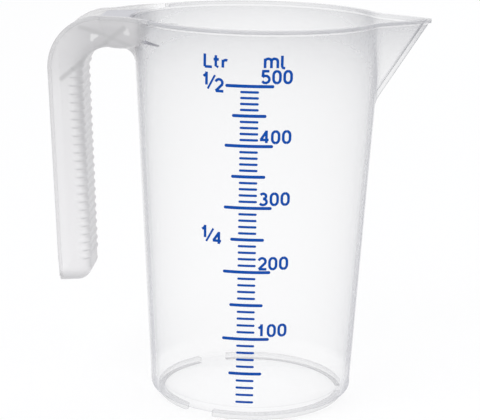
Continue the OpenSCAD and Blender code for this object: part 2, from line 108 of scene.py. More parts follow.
# One closed piece. Depth says how thick the plastic is behind each point of its surface,
# and shade how much painted shade it takes, as a mix towards the material's darker shade colour.
def addMesh(name, points, faces, material, replaced=(), depth=1.0, shade=0.0, smooth=True):
    mesh = bpy.data.meshes.new(name)
    flat = np.asarray(points, dtype=float).reshape(-1, 3)
    mesh.from_pydata((flat*mm).tolist(), [], [list(map(int, f)) for f in faces])
    for key, given in (("plasticDepth", depth), ("plasticShade", shade)):
        values = mesh.attributes.new(key, "FLOAT", "POINT")
        given = np.asarray(given, dtype=float).ravel()
        values.data.foreach_set("value", np.broadcast_to(given, len(flat)).copy())
    mesh.polygons.foreach_set("use_smooth", np.full(len(mesh.polygons), smooth))
    mesh.materials.append(material)
    piece = bpy.data.objects.new(name, mesh)
    bpy.context.collection.objects.link(piece)
    tidyNormals(piece)
    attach(piece, "root")
    if replaced:
        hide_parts(*replaced)
    print(name, "made,", len(mesh.polygons), "faces")
    return piece


# Cup, spout and rim as one continuous shell

cupSizes = {
    "height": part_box("rim_lip")[1][2]/mm,      # table to rim
    "baseRadius": 35.65,                       # of the outer wall, carried down to the table
    "topRadius": 42.9,                         # of the outer wall at the rim
    "wall": 1.3,
    "lipOver": 0.94,                           # how far the rim stands out
    "lipHeight": 1.4,
    "lipRound": 0.42,
    "floor": 1.9,
    "floorRise": 2.0,
    "outerCorner": 2.0,
    "innerCorner": 3.5,
    "spoutLevel": 98.0,                        # rings lie closer above it
    "lipEnd": 0.012,                           # radians over which the rim ends at the handle
    "angleSteps": ((0, 3, 0.3), (3, 34, 0.7), (34, 140, 2.0), (140, 150, 0.5), (150, 180.01, 1.5)),
}
spoutSizes = {
    "drop": 28.6,                              # rim to the keel's foot
    "nose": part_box("spout_lip")[1][0]/mm,      # reach of the blunt nose
    "steepness": 1.59,                         # rise of the keel per unit of reach
    "sideAngle": 53.0,                         # degrees from +X that each side faces
    "keelFlat": 1.0,
    "blend": 2.5, "keelBlend": 0.75,
    "halfAngle": 0.6,                          # radians off +X, beyond which there is only the cone
}
# How thick the plastic looks, in walls. Front is the scale's side.
cupLook = {
    "frontFade": (0.3, -0.3),                  # of the sine of the angle
    "spoutFade": (0.5, 0.3), "backSpoutFade": (0.55, 0.35), "keelHalf": 0.5, "hornFade": 0.03,   # radians
    "floorUnder": 0.12, "floorTop": 0.06, "inside": 0.05, "underLip": 0.1,
    "milkyFoot": 7.3, "milkyFade": 1.5,        # heights, in mm
    "footBack": 0.1, "footFront": 2.0, "cornerLow": 0.3, "cornerHigh": 1.9,
    "lip": 2.4, "lipBack": 0.12, "lipInHorn": 0.2, "lipBackSpout": 0.4, "lipTop": 0.05, "lipInner": 0.7,
    "spoutWall": 0.8, "keelOuter": 4.0, "keelInner": 3.0, "keelWidth": 0.8,
    "insideBridge": 0.6,
}


# Radius of the cone's outside, which grows in a straight line with the height.
def wallRadius(z):
    slope = (cupSizes["topRadius"] - cupSizes["baseRadius"])/cupSizes["height"]
    return cupSizes["baseRadius"] + slope*z


# Radius of the wall at an angle and height: the cone, joined softly to the spout's two
# flat sides and its keel, and cut off at the blunt nose. Inset is a depth inside it. The limits on the
# angles keep the divisions away from zero, where the spout isn't used.
def shellRadius(angle, z, inset, over):
    a = np.abs(angle)
    keelFoot = cupSizes["height"] - spoutSizes["drop"]
    side = math.radians(spoutSizes["sideAngle"])
    steep = spoutSizes["steepness"]
    lean = math.sqrt(1 + (math.cos(side)/steep)**2)
    keel = wallRadius(keelFoot) + (z - keelFoot)/steep
    sharp = keel + spoutSizes["keelFlat"]/2*math.tan(side)
    facing = np.cos(np.minimum(np.abs(side - a), 1.35))
    flat = (sharp*math.cos(side) - inset*lean + over)/facing
    cone = wallRadius(z) - inset + over
    front = keel - inset*math.sqrt(1 + 1/steep**2) + over
    away = np.cos(np.minimum(a, 1.2))
    sides = blendMax(cone, flat, spoutSizes["blend"])
    shape = np.minimum(sides, np.maximum(blendMax(cone, front, spoutSizes["keelBlend"]), front)/away)
    shape = np.minimum(shape, spoutSizes["nose"]/away)
    return np.where(a < spoutSizes["halfAngle"], shape, cone)


# Half the width over the handle's side walls: level along the grip, and growing
# in a straight line from where the flare starts towards the cup.
def sideHalf(reach):
    h = handleSizes
    return blendMax(
        np.full_like(reach, h["width"]/2),
        h["width"]/2 + h["flareSlope"]*(h["flareStart"] - reach),
        h["flareSoft"])


# Angle off the handle's plane where the flared side walls reach the wall's circle.
def hornAngle():
    a = np.radians(np.linspace(10, 60, 2000))
    r = cupSizes["topRadius"]
    gap = r*np.sin(a) - sideHalf(r*np.cos(a))
    return float(a[np.argmax(gap > 0)])


# Rings about the axis, each a radius and a height at every angle. They go from the middle of the floor's
# underside out to the foot's quarter circle, up the outer wall, over the rounded lip, down the inner
# wall and in to the middle again. The floor rises by one less the square of the way out.
def makeCup():
    c, look = cupSizes, cupLook
    height, wall, corner, rnd = c["height"], c["wall"], c["outerCorner"], c["lipRound"]
    bottom = footSizes["height"]
    half = np.radians(np.concatenate([np.arange(*span) for span in c["angleSteps"]]))
    angle = np.concatenate([-half[:0:-1][1:], half])
    turned = np.abs(angle)
    hornPlace = math.pi - hornAngle()
    lipMask = 1 - smoothStep(hornPlace - c["lipEnd"], hornPlace + c["lipEnd"], turned)
    topZ = height - c["lipHeight"]*(1 - lipMask)
    over = c["lipOver"]*lipMask
    floorRadius = footSizes["radius"] - footSizes["width"] - wall
    keelFoot = height - spoutSizes["drop"]
    bridgeFloor = height - handleSizes["bridgeDrop"]
    rows, depths = [], []

    def ring(radius, z, depth):
        r = np.broadcast_to(radius, angle.shape)
        rows.append(np.stack([r*np.cos(angle), r*np.sin(angle), np.broadcast_to(z, angle.shape)], axis=-1))
        depths.append(np.broadcast_to(depth, angle.shape))

    def keelLine(radius, z):
        near = np.clip(1 - np.abs(radius*np.sin(angle))/look["keelWidth"], 0, 1)
        return near*(turned < look["keelHalf"])*(z > keelFoot)

    front = smoothStep(*look["frontFade"], np.sin(angle))
    inSpout = mix(1, look["spoutWall"], smoothStep(*look["spoutFade"], turned))
    inHorn = smoothStep(hornPlace - look["hornFade"], hornPlace + look["hornFade"], turned)
    floorSteps = np.linspace(0.02, floorRadius, 14)
    floorShape = c["floorRise"]*(1 - (floorSteps/floorRadius)**2)
    for r, rise in zip(floorSteps, floorShape):
        ring(r, bottom + rise, look["floorUnder"])
    for r, z in arcPoints((wallRadius(bottom + corner) - corner, bottom + corner), corner, -90, 0, 8):
        ring(r, z, look["footBack"] + front*mix(look["cornerLow"], look["cornerHigh"], (z - bottom)/corner))

    wallTop = height - c["lipHeight"]
    split = c["spoutLevel"]
    for z in np.concatenate([[bottom + corner + 0.8], np.linspace(bottom + corner + 1.6, split, 27),
                             np.linspace(split + 1.5, wallTop - 0.7, 30)]):
        r = shellRadius(angle, z, 0, 0)
        low = 1 - smoothStep(look["milkyFoot"] - look["milkyFade"], look["milkyFoot"], z)
        behind = front*inHorn*smoothStep(bridgeFloor - 1, bridgeFloor + 2, z)
        seen = mix(1, look["insideBridge"], behind)
        milk = look["footBack"] + look["footFront"]*front
        ring(r, z, (1 - low)*inSpout*seen + milk*low + look["keelOuter"]*keelLine(r, z))
    for z in (wallTop - 0.55, wallTop - 0.05):
        ring(shellRadius(angle, z, 0, 0), z, look["underLip"])

    backSpout = (1 - front)*smoothStep(*look["backSpoutFade"], turned)
    lipDepth = look["lip"]*mix(look["lipBack"], 1, front)*mix(1, look["lipInHorn"], inHorn)
    lipDepth = lipDepth*mix(1, look["lipBackSpout"], backSpout)
    for a in np.radians(np.linspace(-90, 0, 5)):
        ring(shellRadius(angle, wallTop, 0, over - (rnd - rnd*math.cos(a))*lipMask),
             wallTop + (rnd + rnd*math.sin(a))*lipMask, lipDepth)
    for a in np.radians(np.linspace(0, 90, 6)):
        ring(shellRadius(angle, topZ, 0, over - rnd + rnd*math.cos(a)), topZ - rnd + rnd*math.sin(a),
             mix(lipDepth, look["lipTop"], math.sin(a)))
    innerDepth = look["lipInner"]*(1 - front)*mix(1, look["lipInHorn"], inHorn)
    for a in np.radians(np.linspace(90, 180, 6)):
        ring(shellRadius(angle, topZ, wall - rnd - rnd*math.cos(a), 0), topZ - rnd + rnd*math.sin(a),
             mix(look["lipTop"], innerDepth, -math.cos(a)))

    inner = c["innerCorner"]
    floorTop = bottom + c["floor"]
    turnZ = floorTop + inner
    for z in np.concatenate([np.linspace(wallTop - 0.8, split, 32), np.linspace(split - 4, turnZ + 2, 22)]):
        r = shellRadius(angle, z, wall, 0)
        ring(r, z, look["inside"] + look["keelInner"]*keelLine(r, z))
    turn = wallRadius(turnZ) - wall - inner
    for r, z in arcPoints((turn, turnZ), inner, 0, -90, 10):
        ring(r, z, look["floorTop"])
    for r, rise in zip(floorSteps[::-1], floorShape[::-1]):
        ring(r, floorTop + rise, look["floorTop"])

    count = len(angle)
    faces = list(gridFaces(len(rows), count, True))
    faces += [list(range(count))[::-1], list(range((len(rows) - 1)*count, len(rows)*count))]
    addMesh("cup_shell", np.array(rows), faces, plastics["cupPlastic"],
            ("cup_wall", "rim_lip", "base_floor", "spout_side_front", "spout_side_back", "spout_lip"),
            depth=np.array(depths))


# Foot ring

footSizes = {
    "height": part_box("foot_ring")[1][2]/mm,
    "radius": 33.0, "width": 2.0, "round": 0.35,
    "into": 0.1,                               # overlap with the floor above it
    "arcs": 3, "notchAngle": 19.5, "steps": 60,
    "frontFade": (0.3, -0.5),                  # of the sine of the angle, roughly
    "sideDepth": 0.05, "bottomDepth": 1.9, "topDepth": 0.5, "frontDepth": 0.8,
    # topShade is the share of painted shade on the far side's top, against the bottom's
    "topShade": 0.5,
}


# A small bar with two rounded lower edges, carried about the cup's axis over each
# arc's angles: its points turn about the axis with the angle and keep their height.
def makeFoot():
    f = footSizes
    height, outer, rnd = f["height"] + f["into"], f["radius"], f["round"]
    section = np.concatenate([
        arcPoints((outer - rnd, rnd), rnd, -90, 0, 4),
        [[outer, height], [outer - f["width"], height]],
        arcPoints((outer - f["width"] + rnd, rnd), rnd, 180, 270, 4)])
    arcs = []
    for i in range(f["arcs"]):
        share, notch = 360/f["arcs"], f["notchAngle"]/2
        a = np.radians(np.linspace(share*i + notch, share*(i + 1) - notch, f["steps"]))[:, None]
        arcs.append(np.stack([
            section[:, 0]*np.cos(a), section[:, 0]*np.sin(a),
            np.broadcast_to(section[:, 1], (f["steps"], len(section)))], axis=-1))
    points, faces = joinLoops(arcs)
    # Painted shade: on the far side the bar's bottom and top edges take the darker shade colour
    front = smoothStep(*f["frontFade"], points[..., 1]/outer)
    bottom = np.where(section[:, 1] < rnd, 1.0, 0.0)
    top = np.where(section[:, 1] > height/2, 1.0, 0.0)
    back = f["sideDepth"] + f["bottomDepth"]*bottom + f["topDepth"]*top
    addMesh("foot_arcs", points, faces, plastics["footPlastic"], ("foot_ring",),
            depth=mix(back, f["frontDepth"]*np.ones_like(back), front),
            shade=(1 - front)*(bottom + f["topShade"]*top))


# Handle

handleSizes = {
    "reach": 71.0, "lowReach": 67.6,           # outer edge, at the bend and at the low end
    "gripReach": 59.7, "gripLowReach": 56.6,   # the face towards the cup
    "lowEnd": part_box("handle_side_front")[0][2]/mm,
    "width": 24.2, "lowWidth": 22.4,
    "gripWidth": 21.6, "gripLowWidth": 20.0,
    "bridgeDrop": 11.4, "bendRadius": 18.0, "underBend": 9.8,
    "topFall": 0.6, "edgeRadius": 4.0, "lowEdgeRadius": 2.6,
    "lowInner": 5.0,
    "flareStart": 53.0, "flareSlope": 0.72, "flareSoft": 1.2,
    "rootRadius": 5.0, "tipRise": 3.3,
    "into": 0.25,                              # how far it starts inside the cup's wall
    "edgeLift": 4.0, "edgeRise": 1.9,          # the free edge over the low end, before and after its turn
    "flatEnd": 0.3, "edgeEnd": 0.15,           # how far inside the low reach the turned end stops
    "endDepth": 12.0, "endCorner": 0.2,        # the outline there
    "tipAcross": (9, 24), "rootAcross": (12, 13.5),   # off the middle, where the tips' rise and the fillet change
    "webPart": 0.3, "arcPart": 0.55,           # shares of the points across: web, and web with its arc
    "bridgeSteps": 30, "bendSteps": 26, "gripSteps": 300, "turnSteps": 14, "flatSteps": 6,
}
ribSizes = {
    "count": 24, "pitch": 2.93, "width": 1.5, "rise": 0.45, "lowGap": 8.95,
    "flatness": 0.6, "across": (0.5, 0.6),     # of the points across, where the ribs end
    "startStep": 15,                           # stations after the bridge
}
# How thick the plastic looks, and how much painted shade it takes. Back is the side away from the scale.
handleLook = {
    # under, bridgeOut, bridgeIn, topLess and rib are strengths of painted shade: under the low end, over the
    # bridge and in a shadow line under each rib
    "inner": 0.15, "backTop": 0.3, "under": 0.85,
    "bridgeOut": 0.3, "bridgeIn": 0.88, "topLess": 0.3,
    "rib": 1.15, "ribShadowLine": 0.45,
    "webFade": (0.1, 2.4), "sideFade": (0.2, 4.5), "sideFrom": (11, 14),      # off the cup's wall, off the middle
    "backFrom": (2, 8), "backHigh": (108, 122),
    "webEdge": (0.38, 0.48), "webEdgeHigh": (50, 110), "webSoft": (-0.09, 0.1),   # share across, and heights
    "endWeb": (0.5, 4.5), "endUnder": (5.5, 0.5),                             # over the low end
    "bridgeHigh": (106, 121), "bridgeReach": (68, 55), "topHigh": (130.5, 133.5),
    "ribFrom": (0.12, 0.3), "ribTo": (0.06, 0.16),
}


# Height of the handle's top: level with the rim, then falling in a straight line to the bend.
def topHeight(reach):
    level = cupSizes["topRadius"] + cupSizes["lipOver"]
    t = (reach - level)/(handleSizes["reach"] - handleSizes["bendRadius"] - level)
    return cupSizes["height"] - handleSizes["topFall"]*np.clip(t, 0, 1)


# The curves that the handle is drawn between, in its own plane: its inner face round the bend and down
# the grip, and the outer edge that belongs to it. Each is a quarter circle and a leaning straight line.
def handleCurves():
    h = handleSizes
    high, low = cupSizes["height"], h["lowEnd"]
    outerBend = np.array([-(h["reach"] - h["bendRadius"]), high - h["topFall"] - h["bendRadius"]])
    innerBend = np.array([-(h["gripReach"] - h["underBend"]), high - h["bridgeDrop"] - h["underBend"]])
    lowTurn = np.array([-h["gripLowReach"] - h["lowInner"], low + h["lowInner"]])

    def curve(bend, radius, reach, lowReach, end):
        z = np.linspace(bend[1], end, h["gripSteps"] + 1)[1:]
        down = (bend[1] - z)/(bend[1] - low)
        grip = np.stack([-mix(reach, lowReach, down), z], axis=-1)
        return np.concatenate([arcPoints(bend, radius, 90, 180, h["bendSteps"]), grip])

    inner = curve(innerBend, h["underBend"], h["gripReach"], h["gripLowReach"], lowTurn[1])
    outer = curve(outerBend, h["bendRadius"], h["reach"], h["lowReach"], lowTurn[1] + h["edgeLift"])
    return inner, outer, innerBend, outerBend, lowTurn


# A channel's outline at s from 0, the middle of its web, to 1, the edge of its side: a flat web, an arc,
# and a straight side that leans from the web's half width to the edge's. It gives the distance out
# from the web, and the distance from the middle.
def sectionOutline(depth, edgeHalf, cornerHalf, radius, s):
    slope = (edgeHalf - cornerHalf)/depth
    lean = np.arctan(slope)
    centreY = cornerHalf + radius*slope - radius/np.cos(lean)
    webPart, arcPart = handleSizes["webPart"], handleSizes["arcPart"]
    a = np.clip((s - webPart)/(arcPart - webPart), 0, 1)
    sweep = np.pi - a*(np.pi/2 - lean)
    arcD = radius + radius*np.cos(sweep)
    arcY = centreY + radius*np.sin(sweep)
    endD = radius - radius*np.sin(lean)
    endY = centreY + radius*np.cos(lean)
    f = np.clip((s - arcPart)/(1 - arcPart), 0, 1)
    d = np.where(s < webPart, 0, np.where(s < arcPart, arcD, mix(endD, depth, f)))
    y = np.where(s < webPart, centreY*s/webPart, np.where(s < arcPart, arcY, mix(endY, edgeHalf, f)))
    return d, y


# The handle's outer skin as a grid: stations from the cup to the low end, and at each the channel's
# outline from the front edge over the web to the back edge.
def makeHandleSkin():
    h = handleSizes
    web, arc = h["webPart"], h["arcPart"]
    half = np.concatenate([np.linspace(0, web, 8), np.linspace(web, arc, 10)[1:], np.linspace(arc, 1, 12)[1:]])
    s = np.concatenate([half[:0:-1], half])
    side = np.concatenate([np.full(len(half) - 1, -1.0), np.full(len(half), 1.0)])
    innerCurve, outerCurve, innerBend, outerBend, lowTurn = handleCurves()
    bridgeLevel = cupSizes["height"] - h["bridgeDrop"]
    stations = []

    # The bridge: every point goes in a straight line from the cup's wall to the bend's start. Its floor
    # rises towards the horns, and a fillet sinks it where it is near the wall.
    for i in range(h["bridgeSteps"]):
        t = i/h["bridgeSteps"]
        x = np.full_like(s, -cupSizes["topRadius"])
        for _ in range(12):
            depth = topHeight(-x) - bridgeLevel
            d, y = sectionOutline(depth, sideHalf(-x), sideHalf(-x), h["edgeRadius"], s)
            out = np.clip(d/depth, 0, 1)
            tip = h["tipRise"]*smoothStep(*h["tipAcross"], y)*(1 - t)**2
            z = bridgeLevel + d + tip*(1 - out)
            start = -np.sqrt(np.maximum((wallRadius(z) - h["into"])**2 - y**2, 25.0))
            x = mix(start, mix(innerBend[0], outerBend[0], out), t)
        fillet = np.clip(1 - (np.hypot(x, y) - wallRadius(z))/h["rootRadius"], 0, 1)
        sink = h["rootRadius"]*(1 - np.sqrt(np.maximum(1 - fillet**2, 0)))*(1 - smoothStep(*h["rootAcross"], y))
        stations.append(np.stack([x, side*y, z - sink*(s < 0.5)], axis=-1))

    # The bend and the grip: the outline stands on the inner face and points at the outer edge
    for i, (low, high) in enumerate(zip(innerCurve, outerCurve)):
        t = min(i/(h["bendSteps"] - 1), 1)
        u = np.clip((innerBend[1] - low[1])/(innerBend[1] - h["lowEnd"]), 0, 1)
        edgeHalf = mix(h["width"], h["lowWidth"], u)/2
        corner = mix(mix(sideHalf(np.array([-innerBend[0]]))[0], h["gripWidth"]/2, t), h["gripLowWidth"]/2, u)
        way = high - low
        depth = np.hypot(*way)
        d, y = sectionOutline(depth, edgeHalf, corner, h["edgeRadius"], s)
        stations.append(np.stack([low[0] + way[0]/depth*d, side*y, low[1] + way[1]/depth*d], axis=-1))

    # The low end: the inner face turns under in a quarter circle and runs out flat, and the side walls
    # close on the free edge's last point
    edgeEnd = np.array([-h["lowReach"] + h["edgeEnd"], h["lowEnd"] + h["edgeRise"]])
    flatX = np.linspace(lowTurn[0], -h["lowReach"] + h["flatEnd"], h["flatSteps"] + 1)[1:]
    under = np.concatenate([
        arcPoints(lowTurn, h["lowInner"], 0, -90, h["turnSteps"])[1:],
        np.stack([flatX, np.full_like(flatX, h["lowEnd"])], axis=-1)])
    inward = np.concatenate([
        arcPoints((0, 0), 1, 180, 90, h["turnSteps"])[1:], np.tile([[0.0, 1.0]], (h["flatSteps"], 1))])
    edgeHalf = h["lowWidth"]/2
    for i, (low, way) in enumerate(zip(under, inward)):
        t = (i + 1)/len(under)
        radius = mix(h["edgeRadius"], h["lowEdgeRadius"], smoothStep(0.6, 1.0, t))
        corner = mix(h["gripLowWidth"]/2, edgeHalf - h["endCorner"], t)
        d, y = sectionOutline(h["endDepth"], edgeHalf, corner, radius, np.minimum(s, arc))
        strip = np.stack([low[0] + way[0]*d, side*y, low[1] + way[1]*d], axis=-1)
        goal = mix(outerCurve[-1], edgeEnd, t)
        f = np.clip((s - arc)/(1 - arc), 0, 1)[:, None]
        edge = np.stack([np.full_like(s, goal[0]), side*edgeHalf, np.full_like(s, goal[1])], axis=-1)
        stations.append(mix(strip, edge, f))
    return np.array(stations), s


# Unit normals of a grid: the cross product of its two directions.
def surfaceNormals(grid):
    n = np.cross(np.gradient(grid, axis=0), np.gradient(grid, axis=1))
    return n/np.maximum(np.linalg.norm(n, axis=-1, keepdims=True), 1e-9)


# The skin raised along its normals by the ribs, each a flattened parabola across its height, and a second
# skin a wall's thickness inside it.
def makeHandle():
    h, look = handleSizes, handleLook
    grid, s = makeHandleSkin()
    normal = surfaceNormals(grid)
    normal = normal*np.sign(normal[len(grid)//2, len(s)//2, 0])

    # At the low end the side walls face straight across, and the inner skin stays inside the free edge
    lastOnes = slice(-(h["turnSteps"] + h["flatSteps"] + 2), None)
    normal[lastOnes, s > 0.6, 0] = 0
    inner = grid - normal*cupSizes["wall"]
    inner[lastOnes, :, 0] = np.maximum(inner[lastOnes, :, 0], grid[lastOnes, :1, 0])

    first = h["lowEnd"] + ribSizes["lowGap"]
    last = first + (ribSizes["count"] - 1)*ribSizes["pitch"]
    z = grid[..., 2]
    nearest = first + np.round((z - first)/ribSizes["pitch"])*ribSizes["pitch"]
    onGrip = np.arange(len(grid))[:, None] > h["bridgeSteps"] + ribSizes["startStep"]
    inRow = (nearest > first - 0.1) & (nearest < last + 0.1) & onGrip
    profile = np.clip(1 - ((z - nearest)/(ribSizes["width"]/2))**2, 0, 1)**ribSizes["flatness"]
    rib = ribSizes["rise"]*profile*inRow*(1 - smoothStep(*ribSizes["across"], s))
    points = np.concatenate([grid + normal*rib[..., None], inner[:, ::-1]], axis=1)

    # Depth fades out at the cup's wall, more slowly on the side walls
    away = np.hypot(points[..., 0], points[..., 1]) - wallRadius(points[..., 2])
    beside = smoothStep(*look["sideFrom"], np.abs(points[..., 1]))
    depth = mix(smoothStep(*look["webFade"], away), smoothStep(*look["sideFade"], away), beside)
    depth[:, grid.shape[1]:] *= look["inner"]
    onBack = smoothStep(*look["backFrom"], points[..., 1])*smoothStep(*look["backHigh"], points[..., 2])
    depth *= mix(1, look["backTop"], onBack)

    # Painted shade on the web, under the low end and over the bridge, and a painted shadow line under each rib
    overEnd = z - h["lowEnd"]
    edge = mix(*look["webEdge"], smoothStep(*look["webEdgeHigh"], z))
    web = (1 - smoothStep(*look["webSoft"], s - edge))*smoothStep(*look["endWeb"], overEnd)
    under = look["under"]*smoothStep(*look["endUnder"], overEnd)
    level = mix(look["bridgeOut"], look["bridgeIn"], smoothStep(*look["bridgeReach"], -grid[..., 0]))
    level = level - look["topLess"]*smoothStep(*look["topHigh"], z)
    ribShadowLine = np.clip(1 - np.abs(z - nearest + ribSizes["width"]/2)/look["ribShadowLine"], 0, 1)*inRow
    ribShadowLine = ribShadowLine*smoothStep(*look["ribFrom"], s)*(1 - smoothStep(*look["ribTo"], s - edge))
    shade = np.maximum(np.maximum(web, under), smoothStep(*look["bridgeHigh"], z)*level)
    shade = np.maximum(shade, look["rib"]*ribShadowLine)
    addMesh("handle_shell", points, loopFaces(*points.shape[:2]), plastics["handlePlastic"],
            ("handle_grip", "handle_side_front", "handle_side_back", "handle_bridge_floor", "handle_end_cap",
             "handle_grip_ribs", "handle_root_fillet"),
            depth=depth, shade=np.concatenate([shade, shade[:, ::-1]], axis=1))
    return grid, normal


# Raised band along the handle's free edge

bandSizes = {
    "tall": cupSizes["lipHeight"], "round": 0.3,
    "rimOver": cupSizes["lipOver"], "gripOver": 0.4,
    "endSteps": 20, "fadeSteps": 16,
    "under": 0.45, "outside": 0.7, "inside": 0.08, "back": 0.3,   # how thick it looks
}


# A small rounded bar on each side. Its section is a quarter circle at each of its four corners, and it is
# carried along the edge with one axis out of the side wall and one down it.
def makeEdgeBand(grid, normal):
    b = bandSizes
    wall, tall, rnd = cupSizes["wall"], b["tall"], b["round"]
    bars, depths = [], []
    for column, nextColumn, way in ((0, 1, -1), (-1, -2, 1)):
        edge = grid[:-1, column]
        down = grid[:-1, nextColumn] - edge
        down /= np.linalg.norm(down, axis=-1, keepdims=True)
        out = normal[:-1, column].copy()
        down[-b["endSteps"]:], out[-b["endSteps"]:] = down[-b["endSteps"]], out[-b["endSteps"]]
        step = np.arange(len(edge))
        pastBridge = np.clip((step - handleSizes["bridgeSteps"])/handleSizes["bendSteps"], 0, 1)
        over = mix(b["rimOver"], b["gripOver"], pastBridge)
        over = (over*np.clip((len(edge) - 1 - step)/b["fadeSteps"], 0.05, 1))[:, None]
        ring, solid = [], []
        for outer, low, start in ((True, False, 90), (True, True, 0), (False, True, -90), (False, False, -180)):
            for a in np.radians(np.linspace(start, start - 90, 4)):
                o = (over - rnd if outer else rnd - wall*np.ones_like(over)) + rnd*math.cos(a)
                dn = (tall - rnd if low else rnd) - rnd*math.sin(a)
                ring.append(edge + out*o + down*dn)
                seen = (b["under"] if low else b["outside"]) if outer else b["inside"]
                solid.append(seen*(1.0 if way < 0 else b["back"]))
        bars.append(np.stack(ring, axis=1))
        depths.append(np.tile(solid, len(edge)))
    points, faces = joinLoops(bars)
    # The band is drawn in a darker copy of the plastic: painted shade along the edge
    addMesh("handle_edge_band_rounded", points, faces, plastics["shadedBandPlastic"],
            ("handle_edge_band",), depth=np.concatenate(depths))


# Deck behind the rim, and the two plates that cross inside the bend

braceSizes = {
    "rising": ((-66.2, 113.1), (-43.9, 131.9)),
    "risingGap": (0.245, 0.66),                # the plate is left out between these shares of its length
    "falling": ((-59.7, 130.9), (-41.6, 126.1)),
    "fallingLift": 3.7, "liftAcross": (9, 24), "liftReach": (50, 42),   # at the horns
    "deckStart": -53.8, "deckEnd": -42.0,
    "sideGap": 1.45, "gripHalf": 10.85,
    "steps": 24, "acrossSteps": 21,
    "into": 0.2,                               # how far the plates end inside the cup's wall
    # shade is the share of painted shade on the crossing plates
    "depth": 0.6, "shade": 0.5, "deckDepth": 1.0, "deckHornDepth": 0.12,
    "wallFade": (0.2, 3.0), "middleFade": (14, 9),
}


# Half the clear width between the handle's side walls.
def innerHalfAt(x):
    flareStart = handleSizes["flareStart"]
    return np.where(-x < flareStart, sideHalf(-x) - braceSizes["sideGap"], braceSizes["gripHalf"])


# A flat plate between two places in the handle's plane, as wide as the handle is inside. To the cup, each
# of its lines across runs on to the wall's circle. Lift raises it towards the horns.
def makePlate(name, start, end, toCup, replaced, lift=0.0, isDeck=False):
    b = braceSizes
    q = np.linspace(-1, 1, b["acrossSteps"])
    t = np.linspace(0, 1, b["steps"])[:, None]
    x = np.broadcast_to(mix(start[0], end[0], t), (b["steps"], len(q)))
    z = mix(start[1], end[1], t)*np.ones_like(x)
    if toCup:
        for _ in range(6):
            y = q*innerHalfAt(x)
            x = mix(start[0], -np.sqrt(np.maximum((wallRadius(z) - b["into"])**2 - y**2, 1)), t)
    y = q*innerHalfAt(x)
    z = z + lift*smoothStep(*b["liftAcross"], np.abs(y))*smoothStep(*b["liftReach"], -x)
    way = (np.array(end) - np.array(start))/math.dist(start, end)
    up = np.array([-way[1], 0, way[0]])*cupSizes["wall"]/2
    middle = np.stack([x, y, z], axis=-1)
    points = np.concatenate([middle + up, (middle - up)[:, ::-1]], axis=1)
    away = np.hypot(points[..., 0], points[..., 1]) - wallRadius(points[..., 2])
    inMiddle = smoothStep(*b["middleFade"], np.abs(points[..., 1]))
    # The deck takes the darker copy of the plastic as painted shade, and the other plates take part of the
    # painted shade colour
    solid, atHorn = (b["deckDepth"], b["deckHornDepth"]) if isDeck else (b["depth"], 0.0)
    addMesh(name, points, loopFaces(*points.shape[:2]), plastics["shadedPlatePlastic" if isDeck else "handlePlastic"],
            replaced, shade=0.0 if isDeck else b["shade"], smooth=False,
            depth=solid*smoothStep(*b["wallFade"], away)*mix(atHorn, 1.0, inMiddle))


# The deck is level, under the rim. The rising plate is in two pieces with a gap between them.
def makeBraces():
    b = braceSizes
    deckZ = cupSizes["height"] - cupSizes["lipHeight"] - cupSizes["wall"]/2
    makePlate("deck_plate", (b["deckStart"], deckZ), (b["deckEnd"], deckZ), True, ("handle_bridge_deck",),
              isDeck=True)
    makePlate("falling_brace", *b["falling"], True, ("handle_cross_ribs",), lift=b["fallingLift"])
    start, end = map(np.array, b["rising"])
    lowShare, highShare = b["risingGap"]
    makePlate("rising_brace_low", start, mix(start, end, lowShare), False, ())
    makePlate("rising_brace_high", mix(start, end, highShare), end, False, ())


# Tips of the bridge's floor, which run out thin along the wall under the rim

tipSizes = {
    "level": 127.5, "tall": 1.1, "endTall": 0.3,
    "out": 1.5, "endOut": 0.25, "into": 0.2,
    "start": 30.0, "end": 43.5,                # degrees off the handle's plane
    "steps": 16,
    "frontDepth": 0.42, "backDepth": 0.04, "frontFade": (10, -10), "startFade": (0, 0.4),
}


# A rectangle carried about the cup's axis, whose width and height shrink with the angle.
def makeHornTips():
    p = tipSizes
    t = np.linspace(0, 1, p["steps"])[:, None]
    z = p["level"] + mix(p["tall"], p["endTall"], t)*np.array([0, 0, 1, 1])
    out = mix(p["out"], p["endOut"], t**0.7)*np.array([0, 1, 1, 0]) - p["into"]*np.array([1, 0, 0, 1])
    r = wallRadius(z) + out
    wedges = []
    for way in (-1, 1):
        a = math.pi - way*np.radians(mix(p["start"], p["end"], t))
        wedges.append(np.stack([r*np.cos(a), r*np.sin(a), z], axis=-1))
    points, faces = joinLoops(wedges)
    # The tips take the full painted shade, in the darker copy of the plastic
    front = smoothStep(*p["frontFade"], points[..., 1])
    addMesh("horn_tips", points, faces, plastics["shadedPlatePlastic"],
            depth=mix(p["backDepth"], p["frontDepth"], front)*smoothStep(*p["startFade"], t), shade=1.0)


# Materials

# A socket of a node. Plain arithmetic with it makes Math nodes.
class Socket:
    def __init__(self, shader, socket):
        self.shader, self.socket = shader, socket

    def math(self, operation, other=None, flip=False, clamp=False):
        values = [self] if other is None else ([other, self] if flip else [self, other])
        settings = {"operation": operation, "use_clamp": clamp}
        return self.shader.node("ShaderNodeMath", settings, dict(enumerate(values)))

    def clamp(self):
        return self.math("ADD", 0.0, clamp=True)

    # Another output of the same node
    def beside(self, out):
        return Socket(self.shader, self.socket.node.outputs[out])

    def __add__(self, other): return self.math("ADD", other)
    def __radd__(self, other): return self.math("ADD", other, True)
    def __sub__(self, other): return self.math("SUBTRACT", other)
    def __rsub__(self, other): return self.math("SUBTRACT", other, True)
    def __mul__(self, other): return self.math("MULTIPLY", other)
    def __rmul__(self, other): return self.math("MULTIPLY", other, True)
    def __truediv__(self, other): return self.math("DIVIDE", other)
    def __pow__(self, other): return self.math("POWER", other)


